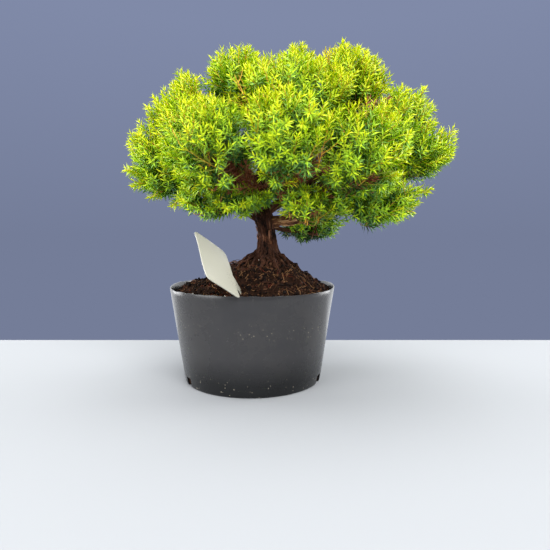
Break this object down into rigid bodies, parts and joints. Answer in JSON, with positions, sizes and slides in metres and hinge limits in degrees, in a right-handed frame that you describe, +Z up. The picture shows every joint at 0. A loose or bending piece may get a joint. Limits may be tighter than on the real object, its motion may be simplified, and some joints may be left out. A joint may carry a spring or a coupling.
{
  "type": "potted conifer",
  "caption": "Dwarf conifer with a short flared trunk and a broad domed needle crown, growing in a cut-down round plastic nursery pot with a blank T-shaped plant label.",
  "frame": {"origin": "centre of the pot's flat underside", "axes": "+X towards the long side of the crown, -Y the front, +Z up"},
  "size_m": [0.3464, 0.2834, 0.3599],
  "materials": {
    "pot": "thin black moulded plastic with a satin sheen, scuffs and a dirty band at the foot",
    "soil": "moist dark compost with bark crumbs, root hairs and a few white specks",
    "label": "plain off-white plastic, blank, with soil specks near the stem",
    "bark": "dark brown, fibrous, flaking bark",
    "bough_bark": "red-brown peeling bark",
    "foliage_lime": "bright yellow-green needles",
    "foliage_green": "mid green needles",
    "foliage_shade": "dark blue-green shaded needles"
  },
  "bodies": {
    "root": {"pot": "pot", "soil": "soil", "label": "label", "trunk": "bark", "bough_right": "bough_bark", "bough_left": "bough_bark", "bough_left_front": "bough_bark", "bough_front": "bough_bark", "bough_front_right": "bough_bark", "bough_right_upper": "bough_bark", "bough_left_upper": "bough_bark", "bough_top_left": "bough_bark", "bough_top_right": "bough_bark", "bough_back_left": "bough_bark", "bough_back": "bough_bark", "bough_back_right": "bough_bark", "bough_low": "bough_bark", "bough_stub": "bough_bark", "mass_low_left": "foliage_shade", "mass_upper_left": "foliage_lime", "mass_top_left": "foliage_lime", "mass_top": "foliage_lime", "mass_top_right": "foliage_lime", "mass_upper_right": "foliage_lime", "mass_far_right": "foliage_green", "mass_low_right": "foliage_shade", "mass_front_left": "foliage_green", "mass_low_front": "foliage_shade", "mass_front": "foliage_green", "mass_front_right": "foliage_green", "mass_low_middle": "foliage_shade", "mass_front_top": "foliage_lime", "mass_back_left": "foliage_green", "mass_back": "foliage_green", "mass_back_right": "foliage_green", "mass_back_top": "foliage_lime", "mass_low_back": "foliage_shade"}
  },
  "joints": []
}
